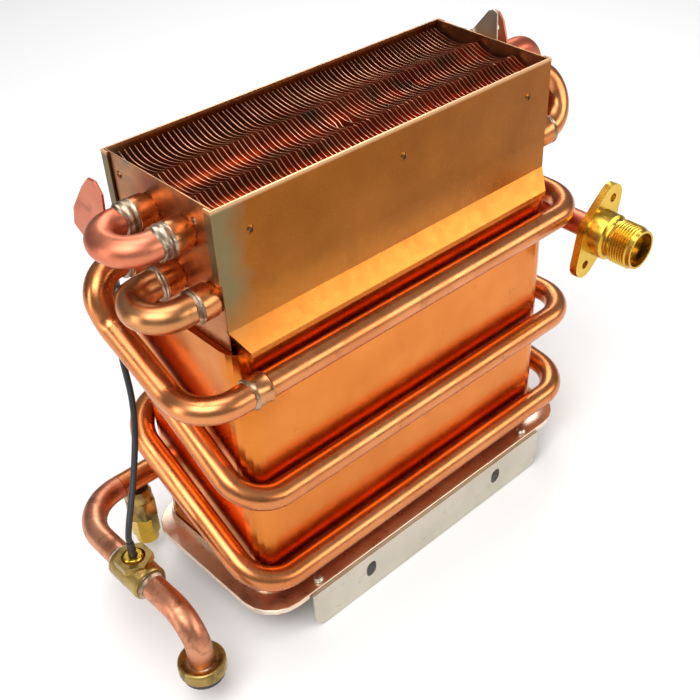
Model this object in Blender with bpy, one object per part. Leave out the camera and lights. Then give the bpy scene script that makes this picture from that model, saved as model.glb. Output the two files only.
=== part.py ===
"""Copper fin-and-tube heat exchanger of an instantaneous gas water heater.

A fin box with five horizontal tubes stands on a combustion jacket. The water
enters at the flanged collar at the lower left, runs round the jacket in three
rounds of tube, crosses the fin box five times and leaves through the flanged
brass outlet on the right.

Lengths are in millimetres and are turned into metres when a mesh is made.
X runs along the long side and -Y is the front. The constants are measured from
the jacket's centre line, on the plane that the two steel brackets stand on. The
finished pieces are moved so that the origin is the middle of the front
bracket's outer face, at the height of its slots.
"""
import math

import bmesh
import bpy
from mathutils import Matrix, Vector

MM = 0.001
GAP = 0.3                      # clearance between pieces that touch

# Fin box
RIM_Z = 271.0
BOX_HALF_X = 112.5
BOX_HALF_Y = 42.0
SHEET = 1.0
CREASE_Z = 207.0
FLARE_Z = 196.5
SKIRT_Z = 193.5
FLARE_Y = 50.0
RETURN_LENGTH = 5.0            # lap of the long sheets round the box corners

# Fin pack: pitch, rows of tubes and the fin's scalloped outline
FIN_COUNT = 16
FIN_THICKNESS = 0.8
FIN_END_MARGIN = 3.0
FIN_TOP_Z = 265.0
FIN_WAVE = 2.2
FIN_BOTTOM_Z = 210.0
UPPER_ROW_Z = 252.3
LOWER_ROW_Z = 223.2
TUBE_PITCH = 28.0
TUBE_CENTRE_Y = -5.5
TUBE_R = 7.5
TUBE_BORE_R = 6.7
BELL_R = 8.6
BELL_BORE_R = 7.7
BELL_LENGTH = 9.0
BEND_R = 7.3                   # U-bend tube, which seats inside the bells
BEND_BORE_R = 6.5
SEAT = 7.0                     # depth of a U-bend in its bell
TUBE_SIDES = 10

TUBE_ROWS = {
    "upper_front": (TUBE_CENTRE_Y - TUBE_PITCH / 2, UPPER_ROW_Z),
    "upper_rear": (TUBE_CENTRE_Y + TUBE_PITCH / 2, UPPER_ROW_Z),
    "lower_front": (TUBE_CENTRE_Y - TUBE_PITCH, LOWER_ROW_Z),
    "lower_middle": (TUBE_CENTRE_Y, LOWER_ROW_Z),
    "lower_rear": (TUBE_CENTRE_Y + TUBE_PITCH, LOWER_ROW_Z),
}

# Combustion jacket and its foot
JACKET_HALF_X = 116.0
JACKET_HALF_Y = 47.6
JACKET_CORNER = 11.0
JACKET_BOTTOM_Z = 23.0
JACKET_TOP_Z = 195.5
FOOT_HALF_X = 128.5
FOOT_FRONT_Y = -64.6
FOOT_REAR_Y = 52.0
FOOT_CORNER = 22.0
FOOT_Z = 29.5
FOOT_LIP = 3.5
FOOT_SHEET = 1.2
CORNER_STEPS = 5

# Coil round the jacket
COIL_R = 7.0
COIL_BORE_R = 6.2
COIL_CLEARANCE = 1.5
COIL_Y = JACKET_HALF_Y + COIL_R + COIL_CLEARANCE
COIL_LEFT_X = -(JACKET_HALF_X + COIL_R + COIL_CLEARANCE)
COIL_RIGHT_X = (133.0, 135.0, 136.5)
COIL_TOP_LEFT_X = -142.0
ROUND_Z = (180.0, 107.0, 44.0)
COIL_BEND = 23.0
COIL_END_X = -138.4
COIL_END_Z = 59.0
JOINT_X = -110.5
BEND_STEPS = 4

# Inlet pipe at the left
INLET_X = -168.5
INLET_Y = -57.5
INLET_BEND = 28.0
BOSS_Y = -6.0
BOSS_HALF = 13.0
BOSS_R = 10.0
BOSS_TOP_Z = COIL_END_Z + 12.0
PORT_R = 6.5
COLLAR_R = 13.0
COLLAR_TOP_Z = 35.0
COLLAR_BOTTOM_Z = 22.0
RELIEF_X = -128.5

# Outlet at the right
OUTLET_X = 141.0
OUTLET_Z = 162.0
OUTLET_TOP_X = 161.0
OUTLET_BEND = 15.0
FLANGE_BACK_Y = -62.0
FLANGE_THICK = 5.0
FLANGE_TILT = math.radians(30)
HOLE_SPACING = 43.0

# Steel brackets
BRACKET_HALF_X = 98.0
BRACKET_FRONT_Y = -66.8
BRACKET_REAR_Y = 54.2
BRACKET_SHEET = 1.5
BRACKET_TOP_Z = FOOT_Z - FOOT_SHEET - GAP
SLOT_X = (-53.5, 56.5)
SLOT_Z = 16.0
SLOT_R = 3.8
SLOT_HALF = 1.8

DATUM = Vector((0.0, BRACKET_FRONT_Y, SLOT_Z))

# Temperature sensor, its lead and the lead's plug
SLEEVE_R = 2.2
SLEEVE_TOP_Z = 82.0
LEAD_R = 1.7
LEAD_ROUTE = (
    (INLET_X, BOSS_Y, SLEEVE_TOP_Z + 2 * GAP), (-168.3, -5.9, 86.0), (-165.5, -3.8, 91.5), (-160.0, 0.4, 99.0),
    (-151.0, 7.5, 111.0), (-141.5, 15.5, 128.0), (-136.5, 20.5, 145.0), (-133.5, 27.0, 164.0),
    (-130.0, 35.0, 180.0), (-125.0, 44.0, 188.6), (-119.0, 51.5, 189.6), (-113.0, 57.5, 189.3),
    (-109.5, 63.0, 186.0), (-108.2, 66.0, 179.0), (-108.0, 66.8, 166.0), (-108.0, 67.0, 150.0))
LEAD_POINTS = 56
PLUG_TOP_Z = 150.0
PLUG_BOTTOM_Z = 134.0

# Lugs and the small steel tab at the ends of the fin box
LUG_SHEET = 1.4
LEFT_LUG_X = -131.0
RIGHT_LUG_X = 128.0
TAB_X = 120.0

COPPER = ((0.78, 0.38, 0.18), 1.0, 0.28)
ANNEALED = ((0.70, 0.24, 0.15), 1.0, 0.42)
BRASS = ((0.78, 0.58, 0.20), 1.0, 0.30)
STEEL = ((0.58, 0.57, 0.52), 1.0, 0.42)
FIN_COPPER = ((0.40, 0.15, 0.08), 1.0, 0.35)
RUBBER = ((0.02, 0.02, 0.02), 0.0, 0.55)
PLASTIC = ((0.75, 0.73, 0.68), 0.0, 0.45)


def clear_scene():
    """Remove every object of the scene."""
    for item in list(bpy.data.objects):
        bpy.data.objects.remove(item, do_unlink=True)


def finish_material(name, look):
    """A Principled material of one metal or rubber."""
    colour, metallic, roughness = look
    mat = bpy.data.materials.new(name)
    mat.use_nodes = True
    shader = mat.node_tree.nodes["Principled BSDF"]
    shader.inputs["Base Color"].default_value = (*colour, 1.0)
    shader.inputs["Metallic"].default_value = metallic
    shader.inputs["Roughness"].default_value = roughness
    mat.diffuse_color = (*colour, 1.0)
    return mat


def add_object(name, bm, look):
    """Turn a bmesh in millimetres into an object with its own material."""
    bmesh.ops.remove_doubles(bm, verts=bm.verts, dist=0.0005)
    bmesh.ops.recalc_face_normals(bm, faces=bm.faces)
    bmesh.ops.translate(bm, vec=-DATUM, verts=bm.verts)
    bmesh.ops.scale(bm, vec=(MM, MM, MM), verts=bm.verts)
    mesh = bpy.data.meshes.new(name)
    bm.to_mesh(mesh)
    bm.free()
    item = bpy.data.objects.new(name, mesh)
    bpy.context.collection.objects.link(item)
    mesh.shade_smooth()
    mesh.set_sharp_from_angle(angle=math.radians(35))
    if look is not None:
        mesh.materials.append(finish_material(name, look))
    return item


def add_tool(name, bm):
    """A helper solid that only cuts or joins another piece."""
    item = add_object(name, bm, None)
    item.hide_render = True
    item.display_type = "WIRE"
    return item


def combine(target, tool, operation):
    """Add an exact Boolean that stays on the target."""
    step = target.modifiers.new(tool.name, "BOOLEAN")
    step.object = tool
    step.operation = operation
    step.solver = "EXACT"


def loops_to_solid(bm, loops, closed=False):
    """Bridge matching loops of points; cap both ends, or close the stack on itself."""
    rings = [[bm.verts.new(p) for p in loop] for loop in loops]
    pairs = list(zip(rings, rings[1:]))
    if closed:
        pairs.append((rings[-1], rings[0]))
    for low, high in pairs:
        count = len(low)
        for i in range(count):
            j = (i + 1) % count
            bm.faces.new((low[i], low[j], high[j], high[i]))
    if not closed:
        bm.faces.new(list(reversed(rings[0])))
        bm.faces.new(rings[-1])
    return rings


def rounded_rectangle(half_x, front_y, rear_y, radius, steps=CORNER_STEPS):
    """Corner arcs of a rectangle, anticlockwise."""
    points = []
    corners = ((1, rear_y - radius, 0), (-1, rear_y - radius, 90),
               (-1, front_y + radius, 180), (1, front_y + radius, 270))
    for sx, centre_y, start in corners:
        for k in range(steps + 1):
            angle = math.radians(start + 90 * k / steps)
            x = sx * (half_x - radius) + radius * math.cos(angle)
            points.append((x, centre_y + radius * math.sin(angle)))
    return points


def jacket_outline(outset):
    """The jacket's rounded outline, moved outwards."""
    half_y = JACKET_HALF_Y + outset
    return rounded_rectangle(JACKET_HALF_X + outset, -half_y, half_y, JACKET_CORNER + max(outset, -8.0))


def frame_profile(bm, sections):
    """A ring swept round the jacket: each section is (outset, z) from the jacket's outline."""
    loops = [[(x, y, z) for x, y in jacket_outline(outset)] for outset, z in sections]
    loops_to_solid(bm, loops, closed=True)


def prism(bm, outline, axis, start, end):
    """Extrude an outline of two coordinates along the third axis."""
    slot = "xyz".index(axis)
    loops = []
    for w in (start, end):
        loops.append([pair[:slot] + (w,) + pair[slot:] for pair in outline])
    loops_to_solid(bm, loops)


def circle(radius, sides, centre=(0.0, 0.0), phase=0.0):
    """A regular outline in two coordinates."""
    points = []
    for i in range(sides):
        angle = phase + math.tau * i / sides
        points.append((centre[0] + radius * math.cos(angle), centre[1] + radius * math.sin(angle)))
    return points


def turned(bm, profile, sides, matrix):
    """Turn a profile of (radius, height) about the matrix's Z axis.

    A profile that starts on the axis also ends there; any other is a closed ring.
    """
    closed = profile[0][0] > 0
    loops = []
    for i in range(sides):
        angle = math.tau * i / sides
        spin = (math.cos(angle), math.sin(angle))
        loops.append([matrix @ Vector((r * spin[0], r * spin[1], h)) for r, h in profile])
    rings = [[bm.verts.new(p) for p in loop] for loop in loops]
    count = len(profile)
    for k in range(sides):
        here, there = rings[k], rings[(k + 1) % sides]
        for i in range(count if closed else count - 1):
            j = (i + 1) % count
            quad = (here[i], here[j], there[j], there[i])
            bm.faces.new(quad)


def axis_matrix(origin, axis, up=(0, 0, 1)):
    """Frame whose Z is the axis and whose X lies nearest to up."""
    z = Vector(axis).normalized()
    x = Vector(up) - z * Vector(up).dot(z)
    x.normalize()
    y = z.cross(x)
    matrix = Matrix((x, y, z)).transposed().to_4x4()
    matrix.translation = Vector(origin)
    return matrix


def bent_path(points, radii, steps=BEND_STEPS):
    """Straight runs joined by arcs of the given radii."""
    points = [Vector(p) for p in points]
    path = [points[0]]
    for before, corner, after, radius in zip(points, points[1:], points[2:], radii):
        a = (before - corner).normalized()
        b = (after - corner).normalized()
        half = a.angle(b) / 2
        reach = radius / math.tan(half)
        centre = corner + (a + b).normalized() * (radius / math.sin(half))
        start = corner + a * reach - centre
        end = corner + b * reach - centre
        sweep = start.angle(end)
        for k in range(steps + 1):
            t = k / steps
            arm = (start * math.sin((1 - t) * sweep) + end * math.sin(t * sweep)) / math.sin(sweep)
            path.append(centre + arm)
    path.append(points[-1])
    return path


def swept_rings(path, radius, sides, up):
    """Rings of points square to a path, carried along without twist."""
    rings = []
    normal = None
    for i, point in enumerate(path):
        ahead = (path[i + 1] - point).normalized() if i + 1 < len(path) else None
        behind = (point - path[i - 1]).normalized() if i else None
        tangent = ((ahead or behind) + (behind or ahead)).normalized()
        reference = Vector(up) if normal is None else normal
        normal = (reference - tangent * reference.dot(tangent)).normalized()
        side = tangent.cross(normal)
        turns = [math.tau * k / sides for k in range(sides)]
        rings.append([point + radius * (math.cos(t) * normal + math.sin(t) * side) for t in turns])
    return rings


def hollow_tube(bm, path, radius, bore, sides=TUBE_SIDES, up=(0, 0, 1)):
    """An open-ended tube along a path."""
    outer = swept_rings(path, radius, sides, up)
    inner = swept_rings(path, bore, sides, up)
    loops_to_solid(bm, outer + inner[::-1], closed=True)


def tube_object(name, points, radii, radius, bore, look, steps=BEND_STEPS, up=(0, 0, 1)):
    """One bent tube as an object."""
    bm = bmesh.new()
    hollow_tube(bm, bent_path(points, radii, steps), radius, bore, up=up)
    return add_object(name, bm, look)


def fin_outline():
    """One fin's side: straight foot and flanks, three humps along the top."""
    half = BOX_HALF_Y - SHEET - GAP
    points = [(-half, FIN_BOTTOM_Z), (half, FIN_BOTTOM_Z)]
    steps = 9
    for k in range(steps + 1):
        y = half - 2 * half * k / steps
        hump = abs(math.sin(3 * math.pi * k / steps))
        points.append((y, FIN_TOP_Z + FIN_WAVE * (hump - 1)))
    return points


def build_fin_pack():
    """Fins brazed on the five tubes, whose ends are belled for the U-bends."""
    bm = bmesh.new()
    span = BOX_HALF_X - SHEET - FIN_END_MARGIN
    outline = fin_outline()
    for i in range(FIN_COUNT):
        x = -span + 2 * span * i / (FIN_COUNT - 1)
        prism(bm, outline, "x", x - FIN_THICKNESS / 2, x + FIN_THICKNESS / 2)
    fins = add_object("fin_pack", bm, FIN_COPPER)

    neck = BOX_HALF_X + 1.5
    end = neck + BELL_LENGTH
    over = end + 2.0
    outside = ((-end, BELL_R), (-neck - 1, BELL_R), (-neck, TUBE_R), (neck, TUBE_R), (neck + 1, BELL_R), (end, BELL_R))
    inside = ((-over, BELL_BORE_R), (-neck - 1, BELL_BORE_R), (-neck, TUBE_BORE_R),
              (neck, TUBE_BORE_R), (neck + 1, BELL_BORE_R), (over, BELL_BORE_R))
    for name, stations, operation in (("tube_rods", outside, "UNION"), ("tube_bores", inside, "DIFFERENCE")):
        bm = bmesh.new()
        for y, z in TUBE_ROWS.values():
            loops = [[(x, y + u, z + v) for u, v in circle(r, TUBE_SIDES)] for x, r in stations]
            loops_to_solid(bm, loops)
        combine(fins, add_tool(name, bm), operation)


def build_long_sheet(name, side):
    """Front or rear sheet of the fin box, flared over the jacket's top edge.

    side is -1 for the front and +1 for the rear.
    """
    y = BOX_HALF_Y
    t = SHEET
    profile = (
        (y, RIM_Z), (y - t, RIM_Z), (y - t, CREASE_Z - 0.5), (FLARE_Y - t, FLARE_Z - 0.5),
        (FLARE_Y - t, SKIRT_Z), (FLARE_Y, SKIRT_Z), (FLARE_Y, FLARE_Z), (y, CREASE_Z))
    bm = bmesh.new()
    ends = ((-1, -1), (1, 1))
    loops = []
    full = BOX_HALF_X + GAP
    mitre = 5.5
    for sign, _ in ends:
        loop = []
        for py, pz in profile:
            drop = max(0.0, min(1.0, (CREASE_Z - pz) / (CREASE_Z - FLARE_Z)))
            loop.append((sign * (full - mitre * drop), side * py, pz))
        loops.append(loop)
    loops_to_solid(bm, loops)
    sheet = add_object(name, bm, COPPER)
    for sign, label in ((-1, "left"), (1, "right")):
        bm = bmesh.new()
        x0 = sign * (full - 0.5)
        x1 = sign * (full + t)
        y1 = side * y
        y0 = side * (y - RETURN_LENGTH)
        outline = [(x0, y1), (x1, y1), (x1, y0), (sign * full, y0), (sign * full, side * (y - t + 0.2)),
                   (x0, side * (y - t + 0.2))]
        prism(bm, outline, "z", LOWER_ROW_Z + BELL_R + 1.5, RIM_Z)
        combine(sheet, add_tool(f"{name}_{label}_return", bm), "UNION")


def build_end_plate(name, sign):
    """End plate of the fin box with five tube holes."""
    bm = bmesh.new()
    half = BOX_HALF_Y - SHEET - GAP
    outline = [(-half, JACKET_TOP_Z + GAP), (half, JACKET_TOP_Z + GAP), (half, RIM_Z), (-half, RIM_Z)]
    prism(bm, outline, "x", sign * (BOX_HALF_X - SHEET), sign * BOX_HALF_X)
    plate = add_object(name, bm, COPPER)
    bm = bmesh.new()
    for row in TUBE_ROWS.values():
        prism(bm, circle(TUBE_R + GAP, TUBE_SIDES, row), "x", sign * (BOX_HALF_X - 3), sign * (BOX_HALF_X + 3))
    combine(plate, add_tool(name + "_holes", bm), "DIFFERENCE")


def build_jacket():
    """Combustion jacket: an open box of sheet with its top edge turned in."""
    bm = bmesh.new()
    lip = -(JACKET_HALF_Y - BOX_HALF_Y + SHEET + 0.5)
    frame_profile(bm, (
        (0, JACKET_BOTTOM_Z), (0, JACKET_TOP_Z), (lip, JACKET_TOP_Z),
        (lip, JACKET_TOP_Z - SHEET), (-SHEET, JACKET_TOP_Z - SHEET), (-SHEET, JACKET_BOTTOM_Z)))
    add_object("combustion_jacket", bm, COPPER)


def build_foot():
    """Bottom flange: a flat frame with a turned-down lip, wider at the front."""
    t = FOOT_SHEET
    inner = jacket_outline(GAP)
    collar = jacket_outline(GAP + t)
    outer = rounded_rectangle(FOOT_HALF_X, FOOT_FRONT_Y, FOOT_REAR_Y, FOOT_CORNER)
    outer_in = rounded_rectangle(FOOT_HALF_X - t, FOOT_FRONT_Y + t, FOOT_REAR_Y - t, FOOT_CORNER - t)
    stations = (
        (inner, FOOT_Z - t), (inner, FOOT_Z + 3), (collar, FOOT_Z + 3), (collar, FOOT_Z),
        (outer, FOOT_Z), (outer, FOOT_Z - FOOT_LIP), (outer_in, FOOT_Z - FOOT_LIP), (outer_in, FOOT_Z - t))
    bm = bmesh.new()
    loops_to_solid(bm, [[(x, y, z) for x, y in outline] for outline, z in stations], closed=True)
    flange = add_object("bottom_flange", bm, COPPER)
    for side, label, edge in ((-1, "front", FOOT_FRONT_Y), (1, "rear", FOOT_REAR_Y)):
        bm = bmesh.new()
        near = edge - side * (t + 0.5)
        far = edge + side * 2
        low = FOOT_Z - FOOT_LIP - 2
        prism(bm, [(near, low), (far, low), (far, FOOT_Z - t), (near, FOOT_Z - t)], "x",
              -BRACKET_HALF_X - 0.6, BRACKET_HALF_X + 0.6)
        combine(flange, add_tool(f"bottom_flange_{label}_notch", bm), "DIFFERENCE")


def obround(centre_x, centre_z, half_length, radius, steps=5):
    """Outline of an upright slot."""
    points = []
    for side, start in ((1, 0), (-1, 180)):
        for k in range(steps + 1):
            angle = math.radians(start + 180 * k / steps)
            points.append((centre_x + radius * math.cos(angle),
                           centre_z + side * half_length + radius * math.sin(angle)))
    return points


def build_bracket(name, side, face_y):
    """Steel angle under the bottom flange, with rounded lower corners and two slots.

    side is -1 for the front and +1 for the rear; face_y is the outer face.
    """
    t = BRACKET_SHEET
    top = BRACKET_TOP_Z
    corner = 9.0
    steps = 4
    outline = [(BRACKET_HALF_X, top), (-BRACKET_HALF_X, top)]
    for sx, start in ((-1, 180), (1, 270)):
        for k in range(steps + 1):
            angle = math.radians(start + 90 * k / steps)
            outline.append((sx * (BRACKET_HALF_X - corner) + corner * math.cos(angle),
                            corner + corner * math.sin(angle)))
    bm = bmesh.new()
    prism(bm, outline, "y", face_y - side * t, face_y)
    bracket = add_object(name, bm, STEEL)
    shelf_in = side * (JACKET_HALF_Y + 1.0)
    shelf_out = face_y - side * 0.4
    bm = bmesh.new()
    shelf = [(shelf_in, top - t), (shelf_out, top - t), (shelf_out, top), (shelf_in, top)]
    prism(bm, shelf, "x", -BRACKET_HALF_X + 1, BRACKET_HALF_X - 1)
    combine(bracket, add_tool(name + "_shelf", bm), "UNION")
    bm = bmesh.new()
    for x in SLOT_X:
        prism(bm, obround(x, SLOT_Z, SLOT_HALF, SLOT_R), "y", face_y - side * 3 * t, face_y + side * t)
    combine(bracket, add_tool(name + "_slots", bm), "DIFFERENCE")


def build_u_bend(name, sign, first, second, leg):
    """U-bend between two tube ends on one end plate."""
    first = TUBE_ROWS[first]
    second = TUBE_ROWS[second]
    a = Vector((0, *first))
    b = Vector((0, *second))
    radius = (b - a).length / 2
    seat_x = sign * (BOX_HALF_X + 1.5 + BELL_LENGTH - SEAT)
    turn_x = sign * (BOX_HALF_X + 1.5 + BELL_LENGTH + leg)
    middle = (a + b) / 2
    path = [Vector((seat_x, *first))]
    steps = 2 * BEND_STEPS
    for k in range(steps + 1):
        angle = math.pi * k / steps
        arm = (a - middle) * math.cos(angle)
        path.append(middle + arm + Vector((turn_x + sign * radius * math.sin(angle), 0, 0)))
    path.append(Vector((seat_x, *second)))
    bm = bmesh.new()
    hollow_tube(bm, path, BEND_R, BEND_BORE_R)
    add_object(name, bm, COPPER)


def build_upper_coil_tube():
    """Top tube: from the lower rear bell down the left side to the front joint."""
    y, z = TUBE_ROWS["lower_rear"]
    start = (-(BOX_HALF_X + 1.5 + BELL_LENGTH - SEAT), y, z)
    x = COIL_TOP_LEFT_X
    points = (start, (x - 2, y, z), (x, 13.0, 201.0), (x, -32.0, ROUND_Z[0]),
              (x, -COIL_Y, ROUND_Z[0]), (JOINT_X - GAP, -COIL_Y, ROUND_Z[0]))
    tube_object("coil_upper_tube", points, (15.0, 14.0, 30.0, 19.0), COIL_R, COIL_BORE_R, COPPER, steps=3)


def build_coil():
    """Three rounds of one tube, which drop one level on the left side of the jacket."""
    points = [(JOINT_X, -COIL_Y, ROUND_Z[0])]
    for level, z in enumerate(ROUND_Z):
        right_x = COIL_RIGHT_X[level]
        points.append((right_x, -COIL_Y, z))
        last = level == len(ROUND_Z) - 1
        rear_z = COIL_END_Z if last else z
        points.append((right_x, COIL_Y, rear_z))
        if last:
            points.append((COIL_END_X, COIL_Y, COIL_END_Z))
        else:
            points.append((COIL_LEFT_X, COIL_Y, z))
            points.append((COIL_LEFT_X, -COIL_Y, ROUND_Z[level + 1]))
    radii = [COIL_BEND] * (len(points) - 2)
    tube_object("coil_main_tube", points, radii, COIL_R, COIL_BORE_R, COPPER, steps=3)


def build_joint_sleeve():
    """Soldered sleeve round the joint of the two coil tubes."""
    bm = bmesh.new()
    inner = COIL_R + GAP
    profile = ((inner, -5), (inner, 5), (inner + 0.6, 5), (inner + 1.0, 3), (inner + 1.0, -3), (inner + 0.6, -5))
    turned(bm, profile, 16, axis_matrix((JOINT_X, -COIL_Y, ROUND_Z[0]), (1, 0, 0)))
    add_object("coil_joint_sleeve", bm, STEEL)


def build_inlet():
    """Pipe from the last round through the sensor boss down to the collar."""
    z = COIL_END_Z
    upper = ((COIL_END_X - GAP, COIL_Y, z), (INLET_X, COIL_Y, z), (INLET_X, BOSS_Y + BOSS_HALF - 5, z))
    tube_object("inlet_pipe_upper", upper, (INLET_BEND,), COIL_R, COIL_BORE_R, ANNEALED)
    lower = ((INLET_X, BOSS_Y - BOSS_HALF + 5, z), (INLET_X, INLET_Y, z), (INLET_X, INLET_Y, COLLAR_BOTTOM_Z + 4))
    tube_object("inlet_pipe_lower", lower, (20.0,), COIL_R, COIL_BORE_R, ANNEALED)


def build_boss():
    """Brass tee with a hexagonal port for the temperature sensor."""
    z = COIL_END_Z
    bm = bmesh.new()
    half = BOSS_HALF
    profile = ((BOSS_R - 1, -half), (BOSS_R, -half + 1), (BOSS_R, half - 1), (BOSS_R - 1, half),
               (COIL_R + GAP, half), (COIL_R + GAP, half - 5 - GAP), (5.5, half - 5 - GAP),
               (5.5, -half + 5 + GAP), (COIL_R + GAP, -half + 5 + GAP), (COIL_R + GAP, -half))
    turned(bm, profile, 20, axis_matrix((INLET_X, BOSS_Y, z), (0, 1, 0)))
    boss = add_object("sensor_boss", bm, BRASS)
    bm = bmesh.new()
    hexagon = circle(10.5, 6, (INLET_X, BOSS_Y), math.pi / 6)
    prism(bm, hexagon, "z", z + COIL_R + 2 * GAP, BOSS_TOP_Z)
    combine(boss, add_tool("sensor_boss_hexagon", bm), "UNION")
    bm = bmesh.new()
    prism(bm, circle(PORT_R, 16, (INLET_X, BOSS_Y)), "z", z, BOSS_TOP_Z + 2)
    combine(boss, add_tool("sensor_boss_port", bm), "DIFFERENCE")


def build_sensor():
    """Gland screwed into the port, and the sensor that it clamps."""
    port = axis_matrix((INLET_X, BOSS_Y, 0), (0, 0, 1), (1, 0, 0))
    top = BOSS_TOP_Z
    bore = SLEEVE_R + GAP
    bm = bmesh.new()
    profile = ((bore, top - 7), (bore, top + 1.2), (4.6, top + 1.2), (5.4, top + 0.4), (5.4, top - 1.0),
               (PORT_R - GAP, top - 1.6), (PORT_R - GAP, top - 7))
    turned(bm, profile, 20, port)
    add_object("sensor_gland", bm, BRASS)
    bm = bmesh.new()
    low = COIL_END_Z - 3.0
    profile = ((0.0, low), (1.4, low + 0.6), (1.8, low + 1.8), (1.8, top - 9), (SLEEVE_R, top - 8.5),
               (SLEEVE_R, SLEEVE_TOP_Z - 1), (SLEEVE_R - 0.3, SLEEVE_TOP_Z), (0.0, SLEEVE_TOP_Z))
    turned(bm, profile, 12, port)
    add_object("temperature_sensor", bm, RUBBER)


def smooth_route(points, count):
    """Evenly spaced points along a Catmull-Rom curve through the given points."""
    knots = [Vector(p) for p in points]
    knots = [2 * knots[0] - knots[1]] + knots + [2 * knots[-1] - knots[-2]]
    dense = []
    for a, b, c, d in zip(knots, knots[1:], knots[2:], knots[3:]):
        for k in range(16):
            t = k / 16
            dense.append(0.5 * (2 * b + (c - a) * t + (2 * a - 5 * b + 4 * c - d) * t ** 2
                                + (3 * b - a - 3 * c + d) * t ** 3))
    dense.append(knots[-2])
    lengths = [0.0]
    for a, b in zip(dense, dense[1:]):
        lengths.append(lengths[-1] + (b - a).length)
    route = []
    step = 0
    for i in range(count):
        goal = lengths[-1] * i / (count - 1)
        while step < len(dense) - 2 and lengths[step + 1] < goal:
            step += 1
        share = (goal - lengths[step]) / (lengths[step + 1] - lengths[step])
        route.append(dense[step].lerp(dense[step + 1], share))
    return route


def build_lead():
    """Sensor lead: up beside the coil, over its top round and down behind, with a plug."""
    curve = bpy.data.curves.new("sensor_lead", "CURVE")
    curve.dimensions = "3D"
    curve.bevel_depth = LEAD_R * MM
    curve.bevel_resolution = 2
    curve.use_fill_caps = True
    route = smooth_route(LEAD_ROUTE, LEAD_POINTS)
    spline = curve.splines.new("POLY")
    spline.points.add(len(route) - 1)
    for point, place in zip(spline.points, route):
        point.co = (*((place - DATUM) * MM), 1.0)
    curve.materials.append(finish_material("sensor_lead", RUBBER))
    lead = bpy.data.objects.new("sensor_lead", curve)
    bpy.context.collection.objects.link(lead)

    x, y, _ = LEAD_ROUTE[-1]
    bm = bmesh.new()
    prism(bm, [(x - 4.2, y - 2.6), (x + 4.2, y - 2.6), (x + 4.2, y + 2.6), (x - 4.2, y + 2.6)], "z",
          PLUG_BOTTOM_Z, PLUG_TOP_Z - GAP)
    plug = add_object("lead_plug", bm, PLASTIC)
    bm = bmesh.new()
    for side in (-1, 1):
        centre = x + side * 1.9
        prism(bm, [(centre - 1.2, y - 1.2), (centre + 1.2, y - 1.2), (centre + 1.2, y + 1.2), (centre - 1.2, y + 1.2)],
              "z", PLUG_BOTTOM_Z - 1, PLUG_BOTTOM_Z + 7)
    combine(plug, add_tool("lead_plug_sockets", bm), "DIFFERENCE")


def build_lugs():
    """Copper lugs brazed on the two end tubes, and the steel tab with its screw."""
    y, z = TUBE_ROWS["lower_rear"]
    seat = COIL_R + GAP
    bm = bmesh.new()
    outline = [(y + 8.5, z + 1.5), (49.0, 236.0), (46.0, 246.0), (33.0, 262.0), (25.5, 269.0), (19.5, 269.5),
               (15.5, 264.0), (16.8, 254.0), (y - 4.0, z + seat + 1.0), (y, z + seat), (y + 5.2, z + 5.4)]
    prism(bm, outline, "x", LEFT_LUG_X - LUG_SHEET / 2, LEFT_LUG_X + LUG_SHEET / 2)
    add_object("left_lug", bm, ANNEALED)

    y, z = TUBE_ROWS["upper_rear"]
    low = z + BEND_R + GAP
    bm = bmesh.new()
    outline = [(y - 8.0, low + 1.5), (y - 3.5, low), (y + 3.5, low), (y + 9.5, low + 1.0), (y + 9.0, 271.0),
               (y + 6.5, 277.0), (y + 3.0, 280.0), (y - 0.5, 279.5), (y - 4.0, 275.0)]
    prism(bm, outline, "x", RIGHT_LUG_X - LUG_SHEET / 2, RIGHT_LUG_X + LUG_SHEET / 2)
    lug = add_object("right_lug", bm, ANNEALED)
    bm = bmesh.new()
    prism(bm, circle(2.0, 12, (y + 1.0, 270.5)), "x", RIGHT_LUG_X - 3, RIGHT_LUG_X + 3)
    combine(lug, add_tool("right_lug_hole", bm), "DIFFERENCE")

    top = 283.5
    bm = bmesh.new()
    outline = [(9.0, top - 1.5), (5.5, top), (2.5, top - 1.0), (2.0, 264.0), (28.0, 262.0), (28.0, 267.0), (20.5, 268.5)]
    prism(bm, outline, "x", TAB_X - 0.6, TAB_X + 0.6)
    tab = add_object("steel_tab", bm, STEEL)
    bm = bmesh.new()
    prism(bm, circle(1.9, 12, (22.5, 265.2)), "x", TAB_X - 3, TAB_X + 3)
    combine(tab, add_tool("steel_tab_hole", bm), "DIFFERENCE")

    bm = bmesh.new()
    place = axis_matrix((TAB_X - 0.6 - GAP, 22.5, 265.2), (-1, 0, 0))
    profile = ((0.0, -3.4), (1.5, -3.4), (1.5, 0.0), (3.3, 0.0), (3.3, 1.6), (2.2, 2.6), (0.0, 2.8))
    turned(bm, profile, 14, place)
    add_object("tab_screw", bm, STEEL)


def build_foot_screw(name, x):
    """Pan-head screw that holds the front bracket to the bottom flange."""
    bm = bmesh.new()
    place = axis_matrix((x, -60.0, FOOT_Z + GAP), (0, 0, 1), (1, 0, 0))
    turned(bm, ((0.0, 0.0), (3.0, 0.0), (3.0, 1.2), (2.1, 2.3), (0.0, 2.6)), 14, place)
    add_object(name, bm, STEEL)


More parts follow.
